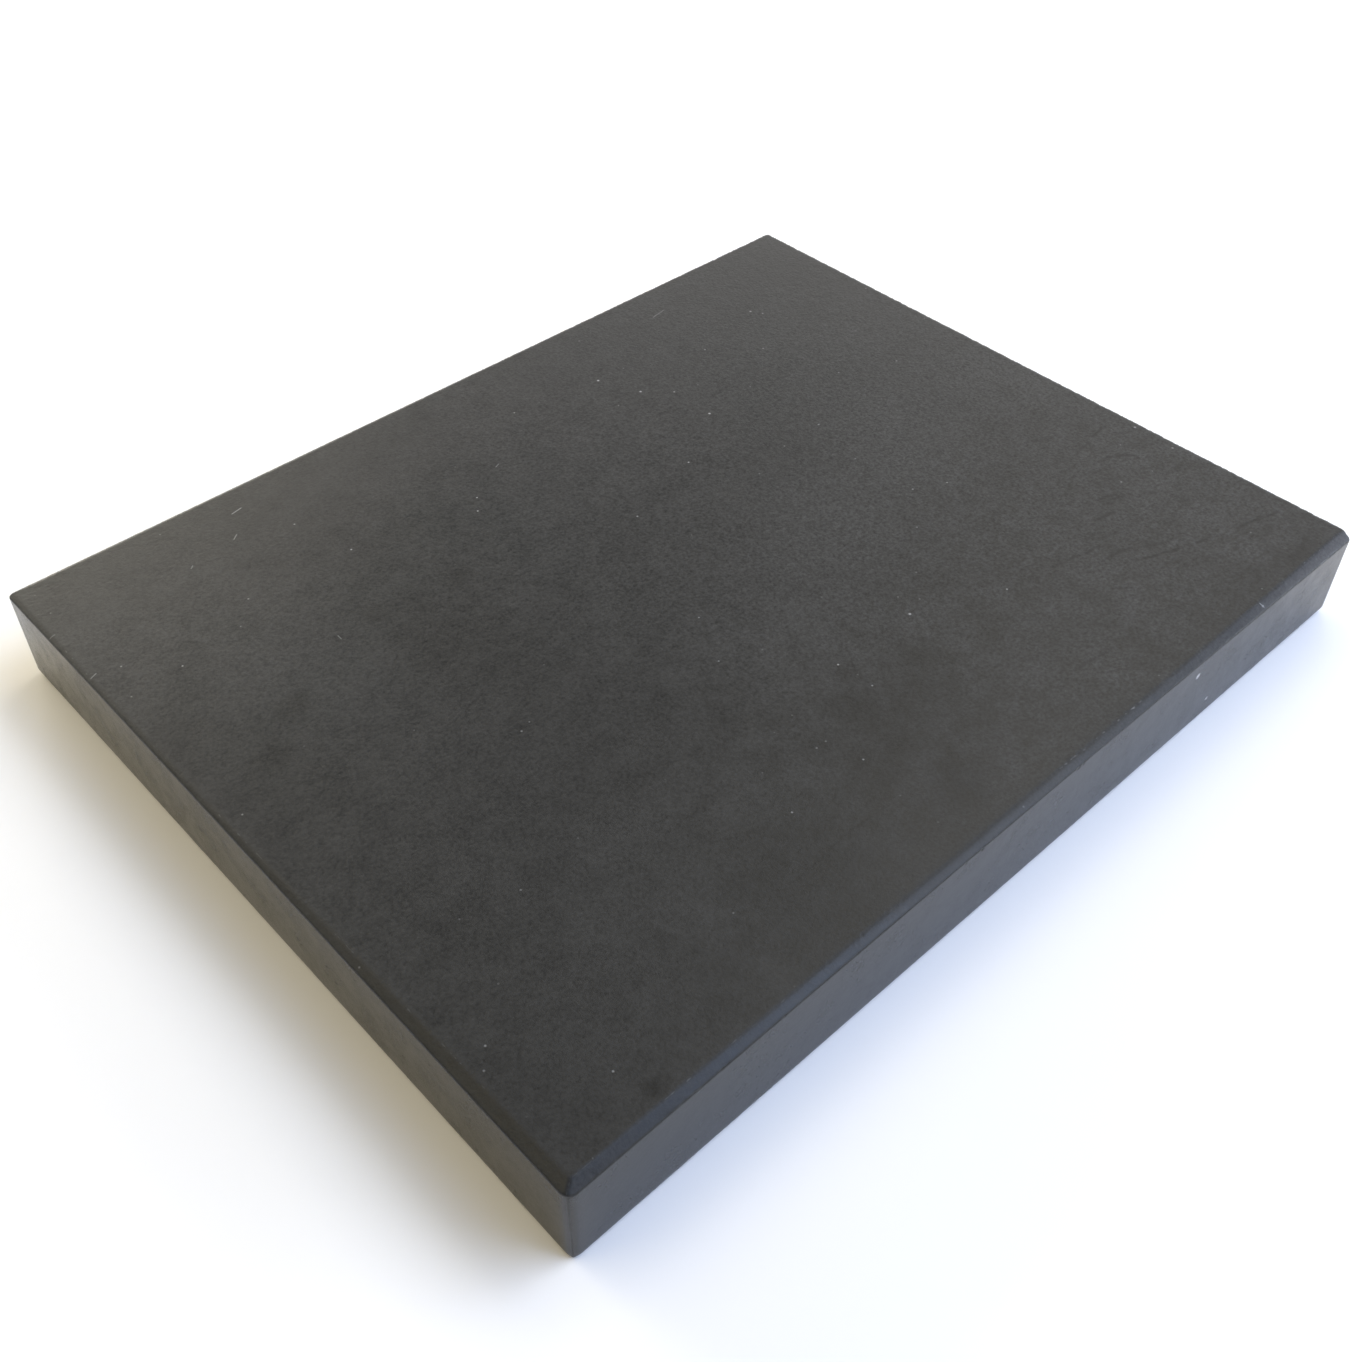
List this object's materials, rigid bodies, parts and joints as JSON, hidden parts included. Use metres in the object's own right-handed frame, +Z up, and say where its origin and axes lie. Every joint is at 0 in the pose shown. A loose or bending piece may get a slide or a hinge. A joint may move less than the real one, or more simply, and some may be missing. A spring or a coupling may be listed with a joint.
{
  "type": "sharpening whetstone",
  "caption": "Wide flat slab of fine dark slate with a honed upper face and bevelled edges, laid on a bench to sharpen blades.",
  "frame": {"origin": "middle of the underside, on the surface that the stone lies on", "axes": "+X along the length, +Y across the width from the bevelled front edge to the back, +Z up out of the honing face"},
  "size_m": [0.2, 0.16, 0.02],
  "materials": {
    "slate": "honed matt dark grey slate with a fine grain, paler sawn sides"
  },
  "bodies": {
    "root": {"stone_slab": "slate"}
  },
  "joints": []
}
